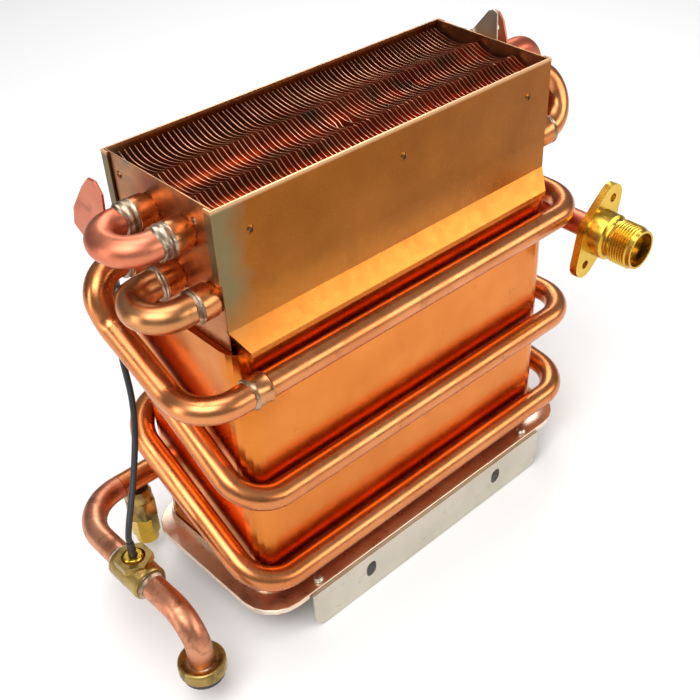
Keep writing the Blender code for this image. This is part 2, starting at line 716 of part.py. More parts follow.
def build_collar():
    """Dished brass collar that a union nut would pull against the supply."""
    bm = bmesh.new()
    bore = COIL_R + GAP
    top = COLLAR_TOP_Z
    low = COLLAR_BOTTOM_Z
    profile = ((bore, low + 4 - GAP), (bore, top - 5), (bore + 1.6, top - 5), (11.4, top - 3.5),
               (COLLAR_R - 0.6, top - 3.8), (COLLAR_R, top - 5), (COLLAR_R, low + 2),
               (COLLAR_R - 1.5, low), (5.6, low), (5.6, low + 4 - GAP))
    place = axis_matrix((INLET_X, INLET_Y, 0), (0, 0, 1), (1, 0, 0))
    turned(bm, profile, 28, place)
    add_object("inlet_collar", bm, BRASS)
    bm = bmesh.new()
    profile = ((6.0, low - GAP - 2), (6.0, low - GAP), (11.5, low - GAP), (11.5, low - GAP - 2))
    turned(bm, profile, 28, place)
    add_object("inlet_gasket", bm, RUBBER)


def build_relief_valve():
    """Relief valve below the inlet pipe: body with seat, seal, spring and screwed cap."""
    place = axis_matrix((RELIEF_X, COIL_Y, 0), (0, 0, 1), (1, 0, 0))
    top = COIL_END_Z - COIL_R - GAP
    bm = bmesh.new()
    profile = ((0.0, top - 1.0), (6.5, top - 1.0), (8.0, top - 4), (8.0, top - 10), (0.0, top - 10))
    turned(bm, profile, 16, place)
    body = add_object("relief_body", bm, BRASS)
    bm = bmesh.new()
    prism(bm, circle(9.4, 6, (RELIEF_X, COIL_Y), 0.2), "z", top - 22, top - 9)
    combine(body, add_tool("relief_body_hexagon", bm), "UNION")
    bm = bmesh.new()
    profile = ((0.0, top + 2), (2.2, top + 2), (2.2, top - 9), (5.2, top - 9), (5.2, top - 24), (0.0, top - 24))
    turned(bm, profile, 12, place)
    combine(body, add_tool("relief_body_bore", bm), "DIFFERENCE")

    bm = bmesh.new()
    prism(bm, circle(8.4, 6, (RELIEF_X, COIL_Y), 0.55), "z", top - 38, top - 22 - GAP)
    cap = add_object("relief_nut", bm, BRASS)
    bm = bmesh.new()
    prism(bm, circle(7.0, 16, (RELIEF_X, COIL_Y)), "z", top - 42, top - 37.5)
    combine(cap, add_tool("relief_nut_neck", bm), "UNION")
    bm = bmesh.new()
    profile = ((0.0, top - 20), (5.2, top - 20), (5.2, top - 34), (2.4, top - 34), (2.4, top - 44), (0.0, top - 44))
    turned(bm, profile, 12, place)
    combine(cap, add_tool("relief_nut_bore", bm), "DIFFERENCE")

    bm = bmesh.new()
    profile = ((0.0, top - 9 - GAP), (3.8, top - 9 - GAP), (3.8, top - 11.5), (1.6, top - 12.5), (1.6, top - 15), (0.0, top - 15))
    turned(bm, profile, 12, place)
    add_object("relief_seal", bm, RUBBER)

    turns = 5
    per_turn = 8
    start = top - 12.8
    drop = start - (top - 33.0)
    path = []
    for i in range(turns * per_turn + 1):
        angle = math.tau * i / per_turn
        height = start - drop * i / (turns * per_turn)
        path.append(Vector((RELIEF_X + 3.4 * math.cos(angle), COIL_Y + 3.4 * math.sin(angle), height)))
    bm = bmesh.new()
    loops_to_solid(bm, swept_rings(path, 0.5, 4, (0, 0, 1)))
    add_object("relief_spring", bm, STEEL)


def build_outlet():
    """Outlet pipe: from the upper rear tube down the right side, then forward to the fitting."""
    y, z = TUBE_ROWS["upper_rear"]
    start = (BOX_HALF_X + 1.5 + BELL_LENGTH - SEAT, y, z)
    end = (OUTLET_X, FLANGE_BACK_Y - FLANGE_THICK + 2 * GAP, OUTLET_Z)
    points = (start, (OUTLET_TOP_X, y, z), (157.0, 12.0, OUTLET_Z), (OUTLET_X, -24.0, OUTLET_Z), end)
    tube_object("outlet_pipe", points, (OUTLET_BEND, 18.0, 30.0), BEND_R, BEND_BORE_R, ANNEALED)


def lozenge(half_length, end_r, middle_r, tilt, steps=5):
    """Two small circles and a big one joined by their tangents, turned by tilt."""
    slope = math.acos((middle_r - end_r) / half_length)
    arcs = (((half_length, 0), end_r, -slope, slope), ((0, 0), middle_r, slope, math.pi - slope),
            ((-half_length, 0), end_r, math.pi - slope, math.pi + slope),
            ((0, 0), middle_r, math.pi + slope, math.tau - slope))
    points = []
    for (cx, cy), r, start, stop in arcs:
        for k in range(steps + 1):
            angle = start + (stop - start) * k / steps
            x = cx + r * math.cos(angle)
            y = cy + r * math.sin(angle)
            points.append((x * math.cos(tilt) - y * math.sin(tilt), x * math.sin(tilt) + y * math.cos(tilt)))
    return points


def build_outlet_fitting():
    """Brass outlet: lozenge flange, neck and hollow male spigot."""
    tilt = math.pi / 2 - FLANGE_TILT
    front = FLANGE_BACK_Y - FLANGE_THICK
    bm = bmesh.new()
    outline = lozenge(HOLE_SPACING / 2, 8.8, 16.0, tilt)
    prism(bm, [(OUTLET_X + u, OUTLET_Z + v) for u, v in outline], "y", front, FLANGE_BACK_Y)
    flange = add_object("outlet_flange_fitting", bm, BRASS)

    bm = bmesh.new()
    place = axis_matrix((OUTLET_X, front, OUTLET_Z), (0, -1, 0))
    profile = ((0.0, -2), (14.4, -2), (14.2, 10), (12.4, 11), (12.4, 12), (13.2, 13), (13.2, 28), (12.0, 30.5),
               (0.0, 30.5))
    turned(bm, profile, 24, place)
    combine(flange, add_tool("outlet_spigot", bm), "UNION")

    bm = bmesh.new()
    bore = ((0.0, -20), (BEND_R + GAP, -20), (BEND_R + GAP, 0.5), (7.0, 0.5), (7.0, 22.0), (10.6, 22.0), (10.6, 34.0),
            (0.0, 34.0))
    turned(bm, bore, 24, place)
    combine(flange, add_tool("outlet_bore", bm), "DIFFERENCE")

    bm = bmesh.new()
    for sign in (-1, 1):
        centre = (OUTLET_X + sign * HOLE_SPACING / 2 * math.cos(tilt),
                  OUTLET_Z + sign * HOLE_SPACING / 2 * math.sin(tilt))
        prism(bm, circle(2.8, 12, centre), "y", front - 3, FLANGE_BACK_Y + 3)
    combine(flange, add_tool("outlet_screw_holes", bm), "DIFFERENCE")


def build_model():
    """Make every piece."""
    clear_scene()
    build_fin_pack()
    build_long_sheet("box_front_sheet", -1)
    build_long_sheet("box_rear_sheet", 1)
    build_end_plate("left_end_plate", -1)
    build_end_plate("right_end_plate", 1)
    build_jacket()
    build_foot()
    build_bracket("front_bracket", -1, BRACKET_FRONT_Y)
    build_bracket("rear_bracket", 1, BRACKET_REAR_Y)
    build_foot_screw("foot_screw_left", -88.5)
    build_foot_screw("foot_screw_right", 88.5)
    build_u_bend("left_upper_u_bend", -1, "upper_front", "upper_rear", 9.0)
    build_u_bend("left_lower_u_bend", -1, "lower_front", "lower_middle", 8.0)
    build_u_bend("right_front_u_bend", 1, "upper_front", "lower_front", 0.5)
    build_u_bend("right_rear_u_bend", 1, "lower_middle", "lower_rear", 3.0)
    build_upper_coil_tube()
    build_coil()
    build_joint_sleeve()
    build_inlet()
    build_boss()
    build_sensor()
    build_lead()
    build_collar()
    build_relief_valve()
    build_outlet()
    build_outlet_fitting()
    build_lugs()


build_model()
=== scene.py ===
import math
import random

import bmesh
import bpy
from mathutils import Matrix, Vector


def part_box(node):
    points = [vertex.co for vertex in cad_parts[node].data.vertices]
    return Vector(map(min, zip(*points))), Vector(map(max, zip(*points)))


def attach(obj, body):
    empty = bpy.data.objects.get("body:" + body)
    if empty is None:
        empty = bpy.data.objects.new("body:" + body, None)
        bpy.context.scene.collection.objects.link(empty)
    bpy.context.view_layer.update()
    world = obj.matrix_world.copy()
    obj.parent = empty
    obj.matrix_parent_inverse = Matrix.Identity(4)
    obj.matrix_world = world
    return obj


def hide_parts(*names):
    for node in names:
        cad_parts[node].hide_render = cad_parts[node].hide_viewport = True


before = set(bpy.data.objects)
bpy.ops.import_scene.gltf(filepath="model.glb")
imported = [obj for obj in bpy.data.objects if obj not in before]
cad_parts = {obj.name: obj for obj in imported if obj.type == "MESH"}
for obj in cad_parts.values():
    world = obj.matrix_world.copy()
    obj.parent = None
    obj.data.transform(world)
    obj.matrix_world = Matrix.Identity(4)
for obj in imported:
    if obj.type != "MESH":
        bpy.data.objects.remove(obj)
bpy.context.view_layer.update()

MM = 0.001
BODY = "root"

# Driving places, read from the frame
RIM_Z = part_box("left_end_plate")[1].z
BOX_LEFT_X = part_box("left_end_plate")[0].x
BOX_RIGHT_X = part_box("right_end_plate")[1].x
BOX_FRONT_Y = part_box("left_end_plate")[0].y
BOX_REAR_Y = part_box("left_end_plate")[1].y
FLOOR_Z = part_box("front_bracket")[0].z
BEND_R = (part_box("left_upper_u_bend")[1].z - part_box("left_upper_u_bend")[0].z) / 2
COIL_LOW, COIL_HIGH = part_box("coil_main_tube")
FIN_LOW_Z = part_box("fin_pack")[0].z

# Fineness of the tubes, smoother than the CAD's
TUBE_SIDES = 28
ARC_STEPS = 12
U_BEND_STEPS = 26
FACET_REACH = 0.951           # share of its radius that a ten-sided CAD tube reaches sideways

# Tube sizes that the boxes don't give, with the CAD's values
COIL_R = 7.0 * MM
COIL_CLEARANCE = 1.5 * MM
COIL_BEND = 23.0 * MM
COIL_RIGHT_STEP = (3.5 * MM, 1.5 * MM, 0.0)   # how far each round's right end lies inside the widest
MIDDLE_ROUND_DROP = 73.0 * MM
BELL_R = 8.6 * MM
BELL_LENGTH = 9.0 * MM
BELL_START = 1.5 * MM
SEAT = 7.0 * MM

# Upper coil tube: its way down from the lower rear bell to the front, as in the CAD apart from
# the third bend, which is 30 mm there and folds back on itself
UPPER_TUBE_REACH = 0.98       # share of the tube's radius between its route and its box
UPPER_TUBE_EASE_X = 2.0 * MM
UPPER_TUBE_STEP_Y = 9.5 * MM
UPPER_TUBE_STEP_Z = 22.2 * MM
UPPER_TUBE_LEVEL_Y = 24.1 * MM
UPPER_TUBE_BENDS = (15.0 * MM, 14.0 * MM, 20.0 * MM, 19.0 * MM)
SLEEVE_HALF = 5.0 * MM

# Inlet
INLET_BEND = 28.0 * MM
INLET_DOWN_BEND = 20.0 * MM
TEE_HALF_GAP = 8.0 * MM       # half the gap between the two pipes' ends inside the tee
TEE_HALF = 13.2 * MM

# Outlet
OUTLET_BENDS = (15.0 * MM, 18.0 * MM, 30.0 * MM)
OUTLET_INSET_X = 4.0 * MM
OUTLET_STEP_Y = 3.5 * MM
OUTLET_LEVEL_Y = 32.5 * MM
THREAD_CREST = 13.2 * MM
THREAD_ROOT = 12.2 * MM
THREAD_PITCH = 1.814 * MM
THREAD_TURNS = 7.6
THREAD_START = 2.6 * MM
THREAD_STEPS = 48
SPIGOT_LENGTH = 18.0 * MM

# Fins
FIN_COUNT = 73
FIN_HALF_THICK = 0.16 * MM
FIN_SCALLOP = 4.6 * MM
FIN_SIDE_POINTS = 40
FIN_FOOT_POINTS = 6
FIN_TIP_Z = RIM_Z - 3.4 * MM
FIN_END_GAP = 4.0 * MM
FIN_WALL_GAP = 0.5 * MM
FIN_FOOT_GAP = 0.3 * MM
FIN_LEAN = 0.35               # millimetres, either way
FIN_WOBBLE = 0.4              # millimetres, either way
RIPPLE = 0.45 * MM
RIPPLE_RATE = 230
RIPPLE_SHIFT = 0.15
BENT_FINS = (33, 34, 36)
BENT_DEPTH = 2.2 * MM
BENT_PLACE = 9.0 * MM
BENT_WIDTH = 5.0 * MM
EDGE_FACING = 0.5             # a fin's face that points up more than this is its top edge, which gets the painted highlight

# Fin box: folds at the flares' ends and pierced holes
CREASE_DROP = 64.0 * MM
FLARE_DROP = 74.5 * MM
SKIRT_DROP = 77.5 * MM
MITRE = 5.5 * MM
FOLD_SHEET = 0.9 * MM
FOLD_LAP = 1.0 * MM
FOLD_PROUD = 0.2 * MM
LONG_HOLES_X = (-94.0, 1.5, 95.5)
LONG_HOLE_DROP = 16.7 * MM
LONG_HOLE_PROUD = 1.3 * MM
END_HOLE_PROUD = 0.02 * MM
END_HOLES = ((BOX_REAR_Y - 9.5 * MM, 10.0), (BOX_FRONT_Y + 14.0 * MM, 11.0))

# Solder: length of a ring and its distance out from the bell's end
UPPER_SOLDER = (8.5 * MM, 2.6 * MM)
LOWER_SOLDER = (4.0 * MM, 0.8 * MM)
SOLDER_SIDES = 40
SOLDER_STATIONS = 13


def centre_of(node):
    """Middle of a CAD node's box."""
    low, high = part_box(node)
    return (low + high) / 2


def tube_rows():
    """(y, z) of the five fin tubes, read from the U-bends that join them."""
    rows = {}
    for node, front, rear in (("left_upper_u_bend", "upper_front", "upper_rear"),
                              ("left_lower_u_bend", "lower_front", "lower_middle")):
        low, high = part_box(node)
        z = (low.z + high.z) / 2
        rows[front] = (low.y + BEND_R * FACET_REACH, z)
        rows[rear] = (high.y - BEND_R * FACET_REACH, z)
    pitch = rows["lower_middle"][0] - rows["lower_front"][0]
    rows["lower_rear"] = (rows["lower_middle"][0] + pitch, rows["lower_middle"][1])
    return rows


ROWS = tube_rows()


# ---------------------------------------------------------------- stage

def look_at(item, target):
    """Turn a light towards a point."""
    item.rotation_euler = (Vector(target) - item.location).to_track_quat("-Z", "Y").to_euler()


def add_camera():
    """Camera to the front left, looking down at about 40 degrees."""
    data = bpy.data.cameras.new("camera")
    data.lens = 55.21
    data.sensor_width = 36.0
    data.shift_x = -0.0794
    data.shift_y = 0.0606
    data.clip_start = 0.01
    camera = bpy.data.objects.new("camera", data)
    bpy.context.scene.collection.objects.link(camera)
    turn = Matrix.Rotation(math.radians(-44.39), 4, "Z")
    tilt = Matrix.Rotation(math.radians(50.41), 4, "X")
    roll = Matrix.Rotation(math.radians(-0.80), 4, "Z")
    camera.matrix_world = Matrix.Translation((-0.3340, -0.3170, 0.4844)) @ turn @ tilt @ roll
    bpy.context.scene.camera = camera


def add_area(name, place, target, size, power, colour=(1.0, 1.0, 1.0)):
    """One rectangular softbox."""
    data = bpy.data.lights.new(name, "AREA")
    data.shape = "RECTANGLE"
    data.size, data.size_y = size
    data.energy = power
    data.color = colour
    item = bpy.data.objects.new(name, data)
    item.location = place
    bpy.context.scene.collection.objects.link(item)
    look_at(item, target)


def add_stage():
    """Pale floor, grey surround and soft studio lights."""
    bpy.context.scene.view_settings.view_transform = "Standard"
    world = bpy.data.worlds.new("studio")
    bpy.context.scene.world = world
    world.use_nodes = True
    tree = world.node_tree
    tree.nodes["Background"].inputs["Strength"].default_value = 1.0
    coords = tree.nodes.new("ShaderNodeTexCoord")
    split = tree.nodes.new("ShaderNodeSeparateXYZ")
    ramp = tree.nodes.new("ShaderNodeValToRGB")
    ramp.color_ramp.elements[0].position = 0.30
    ramp.color_ramp.elements[0].color = (0.05, 0.045, 0.04, 1)
    ramp.color_ramp.elements[1].position = 0.85
    ramp.color_ramp.elements[1].color = (0.34, 0.34, 0.35, 1)
    scale = tree.nodes.new("ShaderNodeMapRange")
    scale.inputs["From Min"].default_value = -1.0
    tree.links.new(coords.outputs["Generated"], split.inputs[0])
    tree.links.new(split.outputs["Z"], scale.inputs["Value"])
    tree.links.new(scale.outputs["Result"], ramp.inputs["Fac"])
    tree.links.new(ramp.outputs["Color"], tree.nodes["Background"].inputs["Color"])

    bm = bmesh.new()
    bmesh.ops.create_grid(bm, x_segments=1, y_segments=1, size=6.0)
    mesh = bpy.data.meshes.new("floor")
    bm.to_mesh(mesh)
    bm.free()
    floor = bpy.data.objects.new("floor", mesh)
    floor.location = (0, 0, FLOOR_Z - 0.3 * MM)
    bpy.context.scene.collection.objects.link(floor)
    mat = bpy.data.materials.new("floor")
    mat.use_nodes = True
    shader = mat.node_tree.nodes["Principled BSDF"]
    shader.inputs["Base Color"].default_value = (0.90, 0.90, 0.90, 1)
    shader.inputs["Roughness"].default_value = 0.9
    shader.inputs["Specular IOR Level"].default_value = 0.1
    mesh.materials.append(mat)

    middle = (0.0, 0.067, 0.12)
    add_area("key", (-0.75, -0.35, 1.15), middle, (0.9, 0.7), 11.5)
    add_area("top", (-0.10, 0.10, 1.35), middle, (0.7, 0.7), 6.0)
    add_area("front", (0.75, -1.00, 0.66), middle, (1.3, 0.5), 8.0, (1.0, 0.95, 0.88))
    add_area("left_strip", (-1.20, 0.30, 0.35), middle, (0.25, 0.7), 3.0, (1.0, 0.97, 0.93))
    add_area("rear", (0.75, 0.85, 1.10), middle, (0.8, 0.6), 7.5)


# ---------------------------------------------------------------- materials

class Recipe:
    """Node helper that keeps a material's making short."""

    def __init__(self, name):
        self.mat = bpy.data.materials.new(name)
        self.mat.use_nodes = True
        self.tree = self.mat.node_tree
        self.shader = self.tree.nodes["Principled BSDF"]
        self.coords = self.tree.nodes.new("ShaderNodeTexCoord").outputs["Object"]

    def link(self, a, b):
        self.tree.links.new(a, b)

    def noise(self, scale, detail=4.0, rough=0.55, stretch=(1, 1, 1), distortion=0.0, offset=(0, 0, 0)):
        """A noise value in object space; scale is in features per metre."""
        mapping = self.tree.nodes.new("ShaderNodeMapping")
        mapping.inputs["Scale"].default_value = stretch
        mapping.inputs["Location"].default_value = offset
        self.link(self.coords, mapping.inputs["Vector"])
        node = self.tree.nodes.new("ShaderNodeTexNoise")
        node.inputs["Scale"].default_value = scale
        node.inputs["Detail"].default_value = detail
        node.inputs["Roughness"].default_value = rough
        node.inputs["Distortion"].default_value = distortion
        self.link(mapping.outputs["Vector"], node.inputs["Vector"])
        return node.outputs["Fac"]

    def window(self, value, low, high, to_low=0.0, to_high=1.0):
        """Stretch a value's range and clamp it."""
        node = self.tree.nodes.new("ShaderNodeMapRange")
        node.inputs["From Min"].default_value = low
        node.inputs["From Max"].default_value = high
        node.inputs["To Min"].default_value = to_low
        node.inputs["To Max"].default_value = to_high
        self.link(value, node.inputs["Value"])
        return node.outputs["Result"]

    def axis(self, name):
        """One coordinate of the surface point, in metres."""
        node = self.tree.nodes.new("ShaderNodeSeparateXYZ")
        self.link(self.coords, node.inputs[0])
        return node.outputs[name]

    def math(self, operation, a, b=None):
        """One math node on values or numbers."""
        node = self.tree.nodes.new("ShaderNodeMath")
        node.operation = operation
        for socket, value in zip(node.inputs, (a, b)):
            if value is None:
                continue
            if isinstance(value, (int, float)):
                socket.default_value = value
            else:
                self.link(value, socket)
        return node.outputs[0]

    def near(self, point, radius, stretch=(1, 1, 1)):
        """1 at a point, falling to 0 at the radius."""
        total = None
        for name, centre, factor in zip("XYZ", point, stretch):
            gap = self.math("MULTIPLY", self.math("SUBTRACT", self.axis(name), float(centre)), float(factor))
            square = self.math("MULTIPLY", gap, gap)
            total = square if total is None else self.math("ADD", total, square)
        distance = self.math("SQRT", total)
        return self.window(distance, 0.0, radius, 1.0, 0.0)

    def blend(self, factor, a, b):
        """Mix two colours or colour sockets."""
        node = self.tree.nodes.new("ShaderNodeMix")
        node.data_type = "RGBA"
        self.link(factor, node.inputs["Factor"])
        for socket, value in ((node.inputs["A"], a), (node.inputs["B"], b)):
            if isinstance(value, tuple):
                socket.default_value = (*value, 1.0)
            else:
                self.link(value, socket)
        return node.outputs["Result"]

    def colour(self, socket):
        self.link(socket, self.shader.inputs["Base Color"])

    def roughness(self, socket):
        self.link(socket, self.shader.inputs["Roughness"])

    def bumps(self, *layers):
        """Stack of (height, strength, distance) bumps."""
        normal = None
        for height, strength, distance in layers:
            node = self.tree.nodes.new("ShaderNodeBump")
            node.inputs["Strength"].default_value = strength
            node.inputs["Distance"].default_value = distance
            self.link(height, node.inputs["Height"])
            if normal is not None:
                self.link(normal, node.inputs["Normal"])
            normal = node.outputs["Normal"]
        self.link(normal, self.shader.inputs["Normal"])


def metal(name, base, second, stain, roughness, spread=0.12, stain_low=0.58, stain_high=0.75,
          wave=0.0, grain=0.04):
    """A worked metal: cloudy tone, stains, uneven gloss, fine grain and slow waves."""
    r = Recipe(name)
    r.shader.inputs["Metallic"].default_value = 1.0
    clouds = r.window(r.noise(26.0, 3.0), 0.35, 0.65)
    blotches = r.window(r.noise(75.0, 6.0, 0.65, distortion=0.6, offset=(3, 1, 7)), stain_low, stain_high)
    specks = r.window(r.noise(620.0, 3.0, offset=(9, 2, 4)), 0.66, 0.78)
    tone = r.blend(clouds, base, second)
    tone = r.blend(blotches, tone, stain)
    tone = r.blend(r.math("MULTIPLY", specks, 0.35), tone, tuple(c * 0.45 for c in stain))
    r.colour(tone)
    gloss = r.window(r.noise(140.0, 5.0, 0.6, offset=(5, 5, 1)), 0.3, 0.75, roughness, roughness + spread)
    r.roughness(r.math("ADD", gloss, r.math("MULTIPLY", blotches, 0.10)))
    layers = []
    if wave:
        layers.append((r.noise(9.0, 1.0, 0.4, offset=(2, 8, 3)), wave, 0.004))
        layers.append((r.noise(30.0, 2.0, 0.4, offset=(1, 4, 3)), wave * 0.6, 0.001))
    layers.append((r.noise(900.0, 4.0, 0.6), grain, 0.0002))
    r.bumps(*layers)
    return r


def make_materials():
    """Every material of the object, by the name that the pieces use."""
    looks = {}
    looks["jacket"] = metal("jacket_copper", (0.70, 0.225, 0.042), (0.60, 0.18, 0.028), (0.40, 0.12, 0.022),
                            0.17, 0.10, 0.62, 0.85, wave=0.30, grain=0.05).mat
    looks["tube"] = metal("tube_copper", (0.68, 0.26, 0.10), (0.58, 0.195, 0.065), (0.28, 0.10, 0.035),
                          0.24, 0.12, 0.60, 0.80, grain=0.09).mat
    looks["bend_pink"] = metal("flame_pink_copper",
                               (0.70, 0.24, 0.13), (0.60, 0.14, 0.08), (0.32, 0.10, 0.05),
                               0.34, 0.14, 0.56, 0.78, grain=0.12).mat
    looks["bend_tan"] = metal("bend_tan_copper", (0.66, 0.31, 0.13), (0.50, 0.20, 0.07), (0.22, 0.10, 0.035),
                              0.26, 0.14, 0.54, 0.74, grain=0.10).mat
    looks["inlet"] = metal("inlet_copper", (0.66, 0.30, 0.17), (0.54, 0.18, 0.10), (0.22, 0.09, 0.045),
                           0.32, 0.15, 0.50, 0.70, grain=0.14).mat
    looks["solder"] = metal("silver_solder", (0.52, 0.43, 0.33), (0.40, 0.27, 0.17), (0.17, 0.09, 0.05),
                            0.26, 0.20, 0.48, 0.62, grain=0.5).mat
    looks["brass"] = metal("brass", (0.72, 0.47, 0.065), (0.60, 0.37, 0.045), (0.34, 0.20, 0.03),
                           0.20, 0.12, 0.62, 0.80, grain=0.06).mat
    looks["old_brass"] = metal("old_brass", (0.46, 0.31, 0.10), (0.32, 0.21, 0.06), (0.13, 0.09, 0.03),
                               0.28, 0.16, 0.50, 0.68, grain=0.12).mat
    looks["steel"] = metal("zinc_steel", (0.66, 0.62, 0.53), (0.58, 0.54, 0.45), (0.38, 0.33, 0.25),
                           0.36, 0.10, 0.60, 0.78, grain=0.10).mat
    looks["foot"] = metal("foot_copper", (0.92, 0.80, 0.66), (0.88, 0.68, 0.52), (0.52, 0.33, 0.21),
                          0.26, 0.12, 0.60, 0.78, wave=0.15, grain=0.08).mat
    looks["fin"] = metal("fin_copper", (0.80, 0.25, 0.10), (0.60, 0.17, 0.07), (0.24, 0.13, 0.07),
                         0.28, 0.14, 0.50, 0.66, grain=0.10).mat
    # Lighter copper for the fins' up-facing top edges: a painted highlight, the glint along the fin tops
    looks["fin_edge"] = metal("fin_edge_painted_highlight", (0.66, 0.36, 0.22), (0.52, 0.24, 0.13), (0.26, 0.13, 0.08),
                              0.30, 0.20, 0.50, 0.66, grain=0.10).mat
    looks["box"] = box_material()
    looks["plate"] = plate_material()
    looks["black"] = plain("black_sleeve", (0.015, 0.015, 0.017), 0.42, 0.25)
    looks["rubber"] = plain("gasket_rubber", (0.03, 0.028, 0.026), 0.60, 0.5)
    looks["nylon"] = plain("plug_nylon", (0.70, 0.68, 0.62), 0.42, 0.15)
    return looks


def plain(name, colour, roughness, grain):
    """Moulded rubber or plastic with a faint grain."""
    r = Recipe(name)
    r.shader.inputs["Metallic"].default_value = 0.0
    tone = r.blend(r.noise(180.0), colour, tuple(min(1.0, c * 1.35 + 0.004) for c in colour))
    r.colour(tone)
    r.roughness(r.window(r.noise(400.0), 0.3, 0.7, roughness - 0.06, roughness + 0.08))
    r.bumps((r.noise(1500.0), grain, 0.0002))
    return r.mat


def box_material():
    """Fin box sheet: rolled copper, heat-browned, with an olive tarnish at the left corner, a painted orange
    reflection towards the bottom and a painted highlight under the rim.
    """
    r = Recipe("box_copper")
    r.shader.inputs["Metallic"].default_value = 1.0
    clouds = r.window(r.noise(14.0, 3.0), 0.35, 0.65)
    tone = r.blend(clouds, (0.31, 0.105, 0.015), (0.23, 0.072, 0.010))
    # Painted reflection: the sheet blends to bright orange from 45 to 85 mm under the rim, the orange of the
    # jacket and coil below
    height = r.window(r.axis("Z"), RIM_Z - 0.085, RIM_Z - 0.045, 1.0, 0.0)
    tone = r.blend(r.math("MULTIPLY", height, 0.75), tone, (0.74, 0.27, 0.05))
    blotches = r.window(r.noise(60.0, 6.0, 0.65, distortion=0.7, offset=(3, 1, 7)), 0.56, 0.80)
    tone = r.blend(r.math("MULTIPLY", blotches, 0.6), tone, (0.24, 0.085, 0.016))
    wobble = r.math("MULTIPLY", r.math("SUBTRACT", r.noise(45.0, 4.0, 0.6, distortion=0.8), 0.5), 0.020)
    reach = r.math("ADD", r.math("SUBTRACT", r.axis("X"), BOX_LEFT_X), wobble)
    corner = r.window(reach, 0.006, 0.017, 1.0, 0.0)
    low = r.window(r.axis("Z"), RIM_Z - 0.070, RIM_Z - 0.045)
    patch = r.math("MULTIPLY", corner, low)
    tone = r.blend(r.math("MULTIPLY", patch, 0.85), tone, (0.20, 0.17, 0.085))
    # Painted highlight: a lighter band along the top 1-2 mm of the sheet, just under the rim
    painted_rim_highlight = r.window(r.axis("Z"), RIM_Z - 0.0022, RIM_Z - 0.0008)
    tone = r.blend(r.math("MULTIPLY", painted_rim_highlight, 0.7), tone, (0.80, 0.48, 0.26))
    r.colour(tone)
    gloss = r.window(r.noise(160.0, 5.0, 0.6), 0.3, 0.75, 0.24, 0.36)
    r.roughness(r.math("ADD", gloss, r.math("MULTIPLY", patch, 0.12)))
    r.bumps((r.noise(8.0, 1.0, 0.4, offset=(2, 8, 3)), 0.28, 0.004),
            (r.noise(34.0, 2.0, 0.4), 0.16, 0.001),
            (r.noise(700.0, 4.0, 0.6, stretch=(0.15, 1, 1)), 0.07, 0.0002))
    return r.mat


def plate_material():
    """End plates: copper with grey-green oxide towards the top and darker stains."""
    r = Recipe("plate_copper")
    r.shader.inputs["Metallic"].default_value = 1.0
    clouds = r.window(r.noise(30.0, 4.0), 0.35, 0.65)
    tone = r.blend(clouds, (0.62, 0.26, 0.10), (0.46, 0.17, 0.055))
    top = r.window(r.axis("Z"), RIM_Z - 0.030, RIM_Z)
    blotches = r.window(r.noise(70.0, 6.0, 0.65, distortion=0.7), 0.45, 0.65)
    tone = r.blend(r.math("MULTIPLY", top, r.math("ADD", r.math("MULTIPLY", blotches, 0.6), 0.25)),
                   tone, (0.20, 0.18, 0.12))
    tone = r.blend(r.math("MULTIPLY", blotches, 0.35), tone, (0.28, 0.12, 0.045))
    r.colour(tone)
    r.roughness(r.window(r.noise(160.0, 5.0, 0.6), 0.3, 0.75, 0.26, 0.42))
    r.bumps((r.noise(25.0, 2.0, 0.4), 0.25, 0.001), (r.noise(800.0, 4.0, 0.6), 0.10, 0.0002))
    return r.mat


# ---------------------------------------------------------------- mesh helpers

def finish_piece(name, bm, mat, replaces=(), crease=35):
    """Turn a bmesh in metres into a piece that rides on the body."""
    bmesh.ops.remove_doubles(bm, verts=bm.verts, dist=1e-6)
    bmesh.ops.recalc_face_normals(bm, faces=bm.faces)
    mesh = bpy.data.meshes.new(name)
    bm.to_mesh(mesh)
    bm.free()
    mesh.shade_smooth()
    mesh.set_sharp_from_angle(angle=math.radians(crease))
    mesh.materials.append(mat)
    piece = bpy.data.objects.new(name, mesh)
    bpy.context.scene.collection.objects.link(piece)
    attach(piece, BODY)
    if replaces:
        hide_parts(*replaces)
    return piece


def bridge(bm, loops, caps=True, closed=False):
    """Bridge matching loops of points."""
    rings = [[bm.verts.new(p) for p in loop] for loop in loops]
    pairs = list(zip(rings, rings[1:]))
    if closed:
        pairs.append((rings[-1], rings[0]))
    for low, high in pairs:
        count = len(low)
        for i in range(count):
            j = (i + 1) % count
            bm.faces.new((low[i], low[j], high[j], high[i]))
    if caps and not closed:
        bm.faces.new(list(reversed(rings[0])))
        bm.faces.new(rings[-1])
    return rings


def bent_path(points, radii, steps=ARC_STEPS):
    """Straight runs joined by arcs."""
    points = [Vector(p) for p in points]
    path = [points[0]]
    for before, corner, after, radius in zip(points, points[1:], points[2:], radii):
        a = (before - corner).normalized()
        b = (after - corner).normalized()
        half = a.angle(b) / 2
        reach = radius / math.tan(half)
        centre = corner + (a + b).normalized() * (radius / math.sin(half))
        start = corner + a * reach - centre
        end = corner + b * reach - centre
        sweep = start.angle(end)
        for k in range(steps + 1):
            t = k / steps
            arm = (start * math.sin((1 - t) * sweep) + end * math.sin(t * sweep)) / math.sin(sweep)
            path.append(centre + arm)
    path.append(points[-1])
    return path


def rings_along(path, radius, sides=TUBE_SIDES, up=(0, 0, 1)):
    """Rings of points square to a path, carried along without twist."""
    rings = []
    normal = None
    for i, point in enumerate(path):
        ahead = (path[i + 1] - point).normalized() if i + 1 < len(path) else None
        behind = (point - path[i - 1]).normalized() if i else None
        tangent = ((ahead or behind) + (behind or ahead)).normalized()
        reference = Vector(up) if normal is None else normal
        normal = (reference - tangent * reference.dot(tangent)).normalized()
        side = tangent.cross(normal)
        turns = [math.tau * k / sides for k in range(sides)]
        rings.append([point + radius * (math.cos(t) * normal + math.sin(t) * side) for t in turns])
    return rings


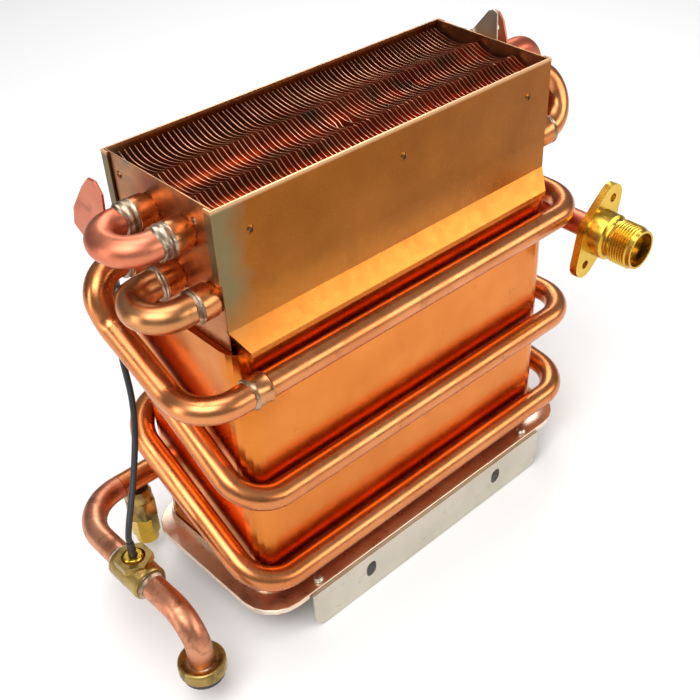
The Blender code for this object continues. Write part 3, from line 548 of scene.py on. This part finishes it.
def tube(name, points, radii, radius, mat, replaces=(), up=(0, 0, 1)):
    """One smooth bent tube."""
    bm = bmesh.new()
    bridge(bm, rings_along(bent_path(points, radii), radius, up=up))
    return finish_piece(name, bm, mat, replaces)


def axis_frame(origin, axis, up=(0, 0, 1)):
    """Frame whose Z is the axis."""
    z = Vector(axis).normalized()
    x = (Vector(up) - z * Vector(up).dot(z)).normalized()
    y = z.cross(x)
    matrix = Matrix((x, y, z)).transposed().to_4x4()
    matrix.translation = Vector(origin)
    return matrix


def revolve(bm, profile, matrix, sides=48):
    """Turn (radius, height) points about the matrix's Z; a profile off the axis is a closed ring."""
    closed = profile[0][0] > 0
    rings = []
    for k in range(sides):
        angle = math.tau * k / sides
        c, s = math.cos(angle), math.sin(angle)
        rings.append([bm.verts.new(matrix @ Vector((r * c, r * s, h))) for r, h in profile])
    count = len(profile)
    for k in range(sides):
        here, there = rings[k], rings[(k + 1) % sides]
        for i in range(count if closed else count - 1):
            j = (i + 1) % count
            bm.faces.new((here[i], here[j], there[j], there[i]))


def refined(node, mat, bevel, segments=2, angle=28):
    """A copy of a CAD node with its edges eased, which stands for it."""
    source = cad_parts[node]
    mesh = source.data.copy()
    mesh.materials.clear()
    mesh.materials.append(mat)
    bm = bmesh.new()
    bm.from_mesh(mesh)
    bmesh.ops.remove_doubles(bm, verts=bm.verts, dist=2e-6)
    bmesh.ops.dissolve_limit(bm, angle_limit=math.radians(1.0), verts=bm.verts, edges=bm.edges)
    bmesh.ops.recalc_face_normals(bm, faces=bm.faces)
    bm.to_mesh(mesh)
    bm.free()
    mesh.shade_smooth()
    mesh.set_sharp_from_angle(angle=math.radians(angle))
    piece = bpy.data.objects.new(node + "_finished", mesh)
    bpy.context.scene.collection.objects.link(piece)
    step = piece.modifiers.new("eased", "BEVEL")
    step.width = bevel
    step.segments = segments
    step.limit_method = "ANGLE"
    step.angle_limit = math.radians(angle)
    step.use_clamp_overlap = True
    step.harden_normals = True
    graph = bpy.context.evaluated_depsgraph_get()
    final = bpy.data.meshes.new_from_object(piece.evaluated_get(graph))
    piece.modifiers.clear()
    piece.data = final
    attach(piece, BODY)
    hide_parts(node)
    return piece


# ---------------------------------------------------------------- fin box

def fin_height(y, wobble):
    """Top edge of a fin: hanging arcs between cusps over the two upper tubes."""
    cusps = (BOX_FRONT_Y, ROWS["upper_front"][0] + wobble, ROWS["upper_rear"][0] + wobble, BOX_REAR_Y)
    for a, b in zip(cusps, cusps[1:]):
        if a <= y <= b:
            u = (y - a) / (b - a) * 2 - 1
            return FIN_TIP_Z - FIN_SCALLOP * (1 - u * u)
    return FIN_TIP_Z


def build_fins(looks):
    """Thin copper fins with scalloped top edges, each a little uneven."""
    rng = random.Random(7)
    bm = bmesh.new()
    left = BOX_LEFT_X + FIN_END_GAP
    right = BOX_RIGHT_X - FIN_END_GAP
    front = BOX_FRONT_Y + FIN_WALL_GAP
    rear = BOX_REAR_Y - FIN_WALL_GAP
    for i in range(FIN_COUNT):
        x = left + (right - left) * i / (FIN_COUNT - 1)
        lean = rng.uniform(-FIN_LEAN, FIN_LEAN) * MM
        wobble = rng.uniform(-FIN_WOBBLE, FIN_WOBBLE) * MM
        bent = BENT_DEPTH if i in BENT_FINS else 0.0
        loops = []
        for side in (-1, 1):
            loop = []
            for k in range(FIN_SIDE_POINTS + 1):
                y = front + (rear - front) * k / FIN_SIDE_POINTS
                ripple = RIPPLE * math.sin((y - front) * RIPPLE_RATE + i * RIPPLE_SHIFT)
                fold = bent * math.exp(-((y - ROWS["upper_front"][0] - BENT_PLACE) / BENT_WIDTH) ** 2)
                top = fin_height(y, wobble) - fold * 0.4
                loop.append((x + lean + ripple - fold + side * FIN_HALF_THICK, y, top))
            for k in range(FIN_FOOT_POINTS + 1):
                y = rear - (rear - front) * k / FIN_FOOT_POINTS
                loop.append((x + side * FIN_HALF_THICK, y, FIN_LOW_Z + FIN_FOOT_GAP))
            loops.append(loop)
        bridge(bm, loops)
    fins = finish_piece("fins", bm, looks["fin"], ("fin_pack",), crease=25)
    # Up-facing top faces take the lighter copper as a painted highlight
    fins.data.materials.append(looks["fin_edge"])
    for face in fins.data.polygons:
        if face.normal.z > EDGE_FACING:
            face.material_index = 1
    return fins


def build_fin_tubes(looks):
    """The five water tubes with the bells that take the U-bends."""
    wall = BOX_RIGHT_X + BELL_START
    end = wall + BELL_LENGTH
    for name, (y, z) in ROWS.items():
        bm = bmesh.new()
        profile = (
            (0.0, -end), (BELL_R - 0.5 * MM, -end), (BELL_R, -end + 0.4 * MM), (BELL_R, -wall - 1.2 * MM),
            (7.6 * MM, -wall + 0.4 * MM), (7.5 * MM, 0.0), (7.6 * MM, wall - 0.4 * MM),
            (BELL_R, wall + 1.2 * MM), (BELL_R, end - 0.4 * MM), (BELL_R - 0.5 * MM, end), (0.0, end))
        revolve(bm, profile, axis_frame((0, y, z), (1, 0, 0)), sides=36)
        finish_piece(name + "_fin_tube", bm, looks["tube"])


def solder_ring(name, centre, axis, radius, length, looks, seed, up=(0, 0, 1)):
    """An uneven ring of silver solder round a joint."""
    rng = random.Random(seed)
    place = axis_frame(centre, axis, up)
    waves = [(rng.uniform(0.10, 0.28), rng.randint(2, 5), rng.uniform(0, 6.28)) for _ in range(3)]
    bm = bmesh.new()
    loops = []
    for k in range(SOLDER_STATIONS):
        u = 2 * k / (SOLDER_STATIONS - 1) - 1
        body = math.sqrt(max(0.0, 1 - u ** 4))
        ripple = 0.30 * math.cos(u * 7.5 + seed) * MM
        loop = []
        for i in range(SOLDER_SIDES):
            angle = math.tau * i / SOLDER_SIDES
            lump = sum(a * math.sin(n * angle + p) for a, n, p in waves) * MM
            edge = 1 + 0.16 * math.sin(3 * angle + seed)
            r = radius - 0.2 * MM + (0.9 * MM + lump * 0.5 + ripple) * body
            loop.append(place @ Vector((r * math.cos(angle), r * math.sin(angle), u * length / 2 * edge)))
        loops.append(loop)
    bridge(bm, loops)
    return finish_piece(name, bm, looks["solder"])


def build_u_bends(looks):
    """U-bends between the fin tubes, with solder at each joint."""
    bends = (
        ("left_upper_u_bend", -1, "upper_front", "upper_rear", "bend_pink"),
        ("left_lower_u_bend", -1, "lower_front", "lower_middle", "bend_tan"),
        ("right_front_u_bend", 1, "upper_front", "lower_front", "tube"),
        ("right_rear_u_bend", 1, "lower_middle", "lower_rear", "bend_tan"))
    wall = BOX_RIGHT_X + BELL_START + BELL_LENGTH
    for seed, (node, sign, first, second, look) in enumerate(bends):
        low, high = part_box(node)
        a = Vector((0, *ROWS[first]))
        b = Vector((0, *ROWS[second]))
        middle = (a + b) / 2
        radius = (b - a).length / 2
        outer = high.x if sign > 0 else -low.x
        turn_x = outer - BEND_R - radius
        path = [Vector((sign * (wall - SEAT), *ROWS[first]))]
        for k in range(U_BEND_STEPS + 1):
            angle = math.pi * k / U_BEND_STEPS
            out = Vector((sign * (turn_x + radius * math.sin(angle)), 0, 0))
            path.append(middle + (a - middle) * math.cos(angle) + out)
        path.append(Vector((sign * (wall - SEAT), *ROWS[second])))
        bm = bmesh.new()
        bridge(bm, rings_along(path, BEND_R))
        finish_piece(node + "_smooth", bm, looks[look], (node,))
        length, shift = UPPER_SOLDER if node == "left_upper_u_bend" else LOWER_SOLDER
        for k, (y, z) in enumerate((ROWS[first], ROWS[second])):
            place = (sign * (wall + shift), y, z)
            solder_ring(f"{node}_solder_{k}", place, (1, 0, 0), BEND_R + 0.5 * MM, length, looks,
                        10 * seed + k)


def punched_hole(name, centre, axis, looks, look):
    """The look of a pierced hole: a raised burr round a dark disc, which is painted shade for the dark inside
    of the hole. The sheet itself isn't cut.
    """
    place = axis_frame(centre, axis, (1, 0, 0) if abs(axis[0]) < 0.5 else (0, 0, 1))
    bm = bmesh.new()
    profile = ((0.0, 0.05 * MM), (0.95 * MM, 0.05 * MM), (1.05 * MM, 0.55 * MM), (1.3 * MM, 0.60 * MM),
               (1.8 * MM, 0.18 * MM), (2.4 * MM, -0.1 * MM), (0.0, -0.1 * MM))
    revolve(bm, profile, place, sides=20)
    finish_piece(name, bm, looks[look], crease=50)
    bm = bmesh.new()
    # Dark disc in the black rubber material: painted shade where the hole's inside would be
    revolve(bm, ((0.0, 0.12 * MM), (0.9 * MM, 0.12 * MM), (0.9 * MM, 0.0), (0.0, 0.0)), place, sides=20)
    finish_piece(name + "_painted_shade_disc", bm, looks["rubber"])


def build_box(looks):
    """Sheets and plates of the fin box."""
    for node in ("box_front_sheet", "box_rear_sheet"):
        refined(node, looks["box"], 0.9 * MM, segments=3, angle=20)
    for node in ("left_end_plate", "right_end_plate"):
        refined(node, looks["plate"], 0.2 * MM, segments=1)
    build_gussets(looks)
    z = RIM_Z - LONG_HOLE_DROP
    for i, x in enumerate(LONG_HOLES_X):
        punched_hole(f"front_hole_{i}", (x * MM, BOX_FRONT_Y - LONG_HOLE_PROUD, z), (0, -1, 0), looks, "box")
        punched_hole(f"rear_hole_{i}", (x * MM, BOX_REAR_Y + LONG_HOLE_PROUD, z), (0, 1, 0), looks, "box")
    for sign, label, x in ((-1, "left", BOX_LEFT_X), (1, "right", BOX_RIGHT_X)):
        for i, (y, drop) in enumerate(END_HOLES):
            centre = (x + sign * END_HOLE_PROUD, y, RIM_Z - drop * MM)
            punched_hole(f"{label}_hole_{i}", centre, (sign, 0, 0), looks, "plate")


def build_gussets(looks):
    """Folded ends of the two flares, which close the gap to the end plates."""
    for side, node, wall in ((-1, "box_front_sheet", BOX_FRONT_Y), (1, "box_rear_sheet", BOX_REAR_Y)):
        low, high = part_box(node)
        lip = low.y if side < 0 else high.y
        for sign, label in ((-1, "left"), (1, "right")):
            top = sign * (BOX_RIGHT_X + FOLD_PROUD)
            foot = top - sign * MITRE
            inside = wall - side * FOLD_LAP
            outside = lip - side * FOLD_PROUD
            outline = ((top, wall, RIM_Z - CREASE_DROP), (foot, outside, RIM_Z - FLARE_DROP),
                       (foot, outside, RIM_Z - SKIRT_DROP), (foot, inside, RIM_Z - SKIRT_DROP),
                       (top, inside, RIM_Z - CREASE_DROP))
            bm = bmesh.new()
            bridge(bm, [[(x + sign * shift, y, z) for x, y, z in outline] for shift in (0.0, -FOLD_SHEET)])
            finish_piece(f"{node}_{label}_fold", bm, looks["box"], crease=20)


# ---------------------------------------------------------------- coil and pipes

def coil_points():
    """Route of the three rounds, as the CAD lays it."""
    front_y = COIL_LOW.y + COIL_R
    rear_y = COIL_HIGH.y - COIL_R
    right_x = COIL_HIGH.x - COIL_R
    end_x = COIL_LOW.x
    joint_x = centre_of("coil_joint_sleeve").x
    top_z = COIL_HIGH.z - COIL_R
    low_z = COIL_LOW.z + COIL_R
    levels = (top_z, top_z - MIDDLE_ROUND_DROP, low_z)
    jacket_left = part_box("combustion_jacket")[0].x
    left_x = jacket_left - COIL_R - COIL_CLEARANCE
    end_z = centre_of("inlet_pipe_upper").z
    points = [(joint_x, front_y, top_z)]
    for level, z in enumerate(levels):
        x = right_x - COIL_RIGHT_STEP[level]
        points.append((x, front_y, z))
        if level == 2:
            points.append((x, rear_y, end_z))
            points.append((end_x, rear_y, end_z))
        else:
            points.append((x, rear_y, z))
            points.append((left_x, rear_y, z))
            points.append((left_x, front_y, levels[level + 1]))
    return points


def build_coil(looks):
    """Coil round the jacket, and the tube that joins it to the fin box."""
    points = coil_points()
    tube("coil_rounds", points, [COIL_BEND] * (len(points) - 2), COIL_R, looks["tube"],
         ("coil_main_tube",))
    y, z = ROWS["lower_rear"]
    top_z = COIL_HIGH.z - COIL_R
    front_y = COIL_LOW.y + COIL_R
    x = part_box("coil_upper_tube")[0].x + COIL_R * UPPER_TUBE_REACH
    start = (BOX_LEFT_X - BELL_START - BELL_LENGTH + SEAT, y, z)
    joint_x = centre_of("coil_joint_sleeve").x
    points = (
        start, (x - UPPER_TUBE_EASE_X, y, z), (x, y - UPPER_TUBE_STEP_Y, z - UPPER_TUBE_STEP_Z),
        (x, front_y + UPPER_TUBE_LEVEL_Y, top_z), (x, front_y, top_z), (joint_x, front_y, top_z))
    tube("coil_upper_tube_smooth", points, UPPER_TUBE_BENDS, COIL_R, looks["tube"],
         ("coil_upper_tube",))
    bell_x = BOX_LEFT_X - BELL_START - BELL_LENGTH
    solder_ring("coil_upper_solder", (bell_x - 1 * MM, y, z), (1, 0, 0), BEND_R + 0.4 * MM, 5 * MM, looks, 31)
    bm = bmesh.new()
    place = axis_frame((joint_x, front_y, top_z), (1, 0, 0))
    half = SLEEVE_HALF
    r = COIL_R
    profile = (
        (r - 0.3 * MM, -half), (r + 0.5 * MM, -half), (r + 1.1 * MM, -half + 0.8 * MM),
        (r + 0.75 * MM, -half + 2.2 * MM), (r + 0.7 * MM, half - 2.5 * MM),
        (r + 1.15 * MM, half - 1.0 * MM), (r + 0.5 * MM, half), (r - 0.3 * MM, half))
    revolve(bm, profile, place, sides=40)
    finish_piece("coil_joint_sleeve_smooth", bm, looks["bend_tan"], ("coil_joint_sleeve",))
    place = (joint_x - half + 0.4 * MM, front_y, top_z)
    solder_ring("coil_joint_solder", place, (1, 0, 0), r + 0.3 * MM, 3.2 * MM, looks, 33)


def build_inlet(looks):
    """Inlet pipe, its tee, gland and sensor, and the collar."""
    end_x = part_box("inlet_pipe_upper")[1].x
    bottom_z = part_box("inlet_pipe_lower")[0].z
    boss = centre_of("sensor_boss")
    x = centre_of("inlet_collar").x
    y = centre_of("inlet_collar").y
    z = centre_of("inlet_pipe_upper").z
    rear_y = COIL_HIGH.y - COIL_R
    upper = ((end_x, rear_y, z), (x, rear_y, z), (x, boss.y + TEE_HALF_GAP, z))
    tube("inlet_pipe_upper_smooth", upper, (INLET_BEND,), COIL_R, looks["inlet"],
         ("inlet_pipe_upper",))
    lower = ((x, boss.y - TEE_HALF_GAP, z), (x, y, z), (x, y, bottom_z))
    tube("inlet_pipe_lower_smooth", lower, (INLET_DOWN_BEND,), COIL_R, looks["inlet"],
         ("inlet_pipe_lower",))
    refined("sensor_boss", looks["old_brass"], 0.5 * MM, segments=2, angle=25)
    for k, sign in enumerate((-1, 1)):
        place = (x, boss.y + sign * TEE_HALF, z)
        solder_ring(f"boss_solder_{k}", place, (0, 1, 0), COIL_R + 0.4 * MM, 5.5 * MM, looks, 41 + k)
    refined("sensor_gland", looks["brass"], 0.15 * MM, segments=1)
    refined("temperature_sensor", looks["black"], 0.1 * MM, segments=1)
    refined("inlet_collar", looks["old_brass"], 0.35 * MM, segments=2, angle=25)
    place = (x, y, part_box("inlet_collar")[1].z - 3.6 * MM)
    solder_ring("collar_solder", place, (0, 0, 1), COIL_R + 0.6 * MM, 4.0 * MM, looks, 51, up=(1, 0, 0))
    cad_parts["inlet_gasket"].data.materials[0] = looks["rubber"]
    refined("relief_body", looks["old_brass"], 0.4 * MM, segments=2, angle=25)
    refined("relief_nut", looks["brass"], 0.4 * MM, segments=2, angle=25)
    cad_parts["relief_seal"].data.materials[0] = looks["rubber"]
    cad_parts["relief_spring"].data.materials[0] = looks["steel"]


LEAD_R = 1.7 * MM
# The lead's route: the CAD's, moved into the frame's axes, in millimetres
LEAD_ROUTE = (
    (-168.5, 60.8, 66.6), (-168.3, 60.9, 70.0), (-165.5, 63.0, 75.5), (-160.0, 67.2, 83.0),
    (-151.0, 74.3, 95.0), (-141.5, 82.3, 112.0), (-136.5, 87.3, 129.0), (-133.5, 93.8, 148.0),
    (-130.0, 101.8, 164.0), (-125.0, 110.8, 172.6), (-119.0, 118.3, 173.6), (-113.0, 124.3, 173.3),
    (-109.5, 129.8, 170.0), (-108.2, 132.8, 163.0), (-108.0, 133.6, 150.0), (-108.0, 133.8, 134.0))


def build_lead(looks):
    """Sensor lead on the CAD's route, with its plug."""
    points = lead_points()
    bm = bmesh.new()
    bridge(bm, rings_along(points, LEAD_R, sides=14))
    lead = finish_piece("sensor_lead_sleeve", bm, looks["black"], ("sensor_lead",))
    plug = refined("lead_plug", looks["nylon"], 0.35 * MM, segments=2)


def lead_points():
    """A smooth curve through the lead's route."""
    knots = [Vector(p) * MM for p in LEAD_ROUTE]
    knots = [2 * knots[0] - knots[1]] + knots + [2 * knots[-1] - knots[-2]]
    dense = []
    for a, b, c, d in zip(knots, knots[1:], knots[2:], knots[3:]):
        for k in range(8):
            t = k / 8
            dense.append(0.5 * (2 * b + (c - a) * t + (2 * a - 5 * b + 4 * c - d) * t ** 2
                                + (3 * b - a - 3 * c + d) * t ** 3))
    dense.append(knots[-2])
    return dense


# ---------------------------------------------------------------- outlet

def build_outlet(looks):
    """Outlet pipe and its threaded, flanged fitting."""
    low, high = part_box("outlet_pipe")
    fit_low, fit_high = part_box("outlet_flange_fitting")
    y, z = ROWS["upper_rear"]
    x = (fit_low.x + fit_high.x) / 2
    out_z = (fit_low.z + fit_high.z) / 2
    wall = BOX_RIGHT_X + BELL_START + BELL_LENGTH
    top_x = high.x - BEND_R
    points = ((wall - SEAT, y, z), (top_x, y, z), (top_x - OUTLET_INSET_X, y + OUTLET_STEP_Y, out_z),
              (x, y - OUTLET_LEVEL_Y, out_z), (x, low.y, out_z))
    tube("outlet_pipe_smooth", points, OUTLET_BENDS, BEND_R, looks["bend_pink"],
         ("outlet_pipe",))
    solder_ring("outlet_pipe_solder", (wall + 1 * MM, y, z), (1, 0, 0), BEND_R + 0.4 * MM, 5 * MM, looks, 61)
    fitting = refined("outlet_flange_fitting", looks["brass"], 0.5 * MM, segments=2, angle=25)
    tip = Vector((x, fit_low.y, out_z))
    thin_spigot(fitting, tip)
    thread(looks, tip)
    place = (x, fit_high.y + 0.6 * MM, out_z)
    solder_ring("outlet_flange_solder", place, (0, 1, 0), BEND_R + 0.5 * MM, 4 * MM, looks, 62)


def thin_spigot(fitting, tip):
    """Bring the spigot's wall in to the root of the thread."""
    for vertex in fitting.data.vertices:
        arm = vertex.co - tip
        reach = math.hypot(arm.x, arm.z)
        if arm.y < SPIGOT_LENGTH and reach > THREAD_ROOT:
            shrink = THREAD_ROOT / reach
            vertex.co = (tip.x + arm.x * shrink, vertex.co.y, tip.z + arm.z * shrink)


def thread(looks, tip):
    """Male thread as a helical ridge on the spigot."""
    half = THREAD_PITCH * 0.46
    bm = bmesh.new()
    loops = []
    count = int(THREAD_TURNS * THREAD_STEPS)
    for i in range(count + 1):
        angle = math.tau * i / THREAD_STEPS
        ease = min(1.0, i / 20, (count - i) / 20)
        top = THREAD_ROOT + (THREAD_CREST - THREAD_ROOT) * ease
        advance = THREAD_START + THREAD_PITCH * i / THREAD_STEPS
        direction = Vector((math.cos(angle), 0, math.sin(angle)))
        base = THREAD_ROOT - 0.4 * MM
        loop = []
        for r, shift in ((base, -half), (THREAD_ROOT, -half), (top, -half * 0.22), (top, half * 0.22),
                         (THREAD_ROOT, half), (base, half)):
            loop.append(tip + direction * r + Vector((0, advance + shift, 0)))
        loops.append(loop)
    bridge(bm, loops)
    finish_piece("outlet_thread", bm, looks["brass"], crease=30)


# ---------------------------------------------------------------- jacket, foot, brackets, lugs

def build_rest(looks):
    """Jacket, foot, brackets, lugs and screws."""
    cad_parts["combustion_jacket"].data.materials[0] = looks["jacket"]
    refined("bottom_flange", looks["foot"], 0.5 * MM, segments=2)
    for node in ("front_bracket", "rear_bracket"):
        refined(node, looks["steel"], 0.45 * MM, segments=2)
    refined("left_lug", looks["bend_pink"], 0.4 * MM, segments=2)
    refined("right_lug", looks["bend_pink"], 0.4 * MM, segments=2)
    refined("steel_tab", looks["steel"], 0.3 * MM, segments=2)
    for node in ("tab_screw", "foot_screw_left", "foot_screw_right"):
        refined(node, looks["steel"], 0.2 * MM, segments=2)


add_camera()
LOOKS = make_materials()
build_lead(LOOKS)
build_fins(LOOKS)
build_fin_tubes(LOOKS)
build_u_bends(LOOKS)
build_box(LOOKS)
build_coil(LOOKS)
build_inlet(LOOKS)
build_outlet(LOOKS)
build_rest(LOOKS)
add_stage()
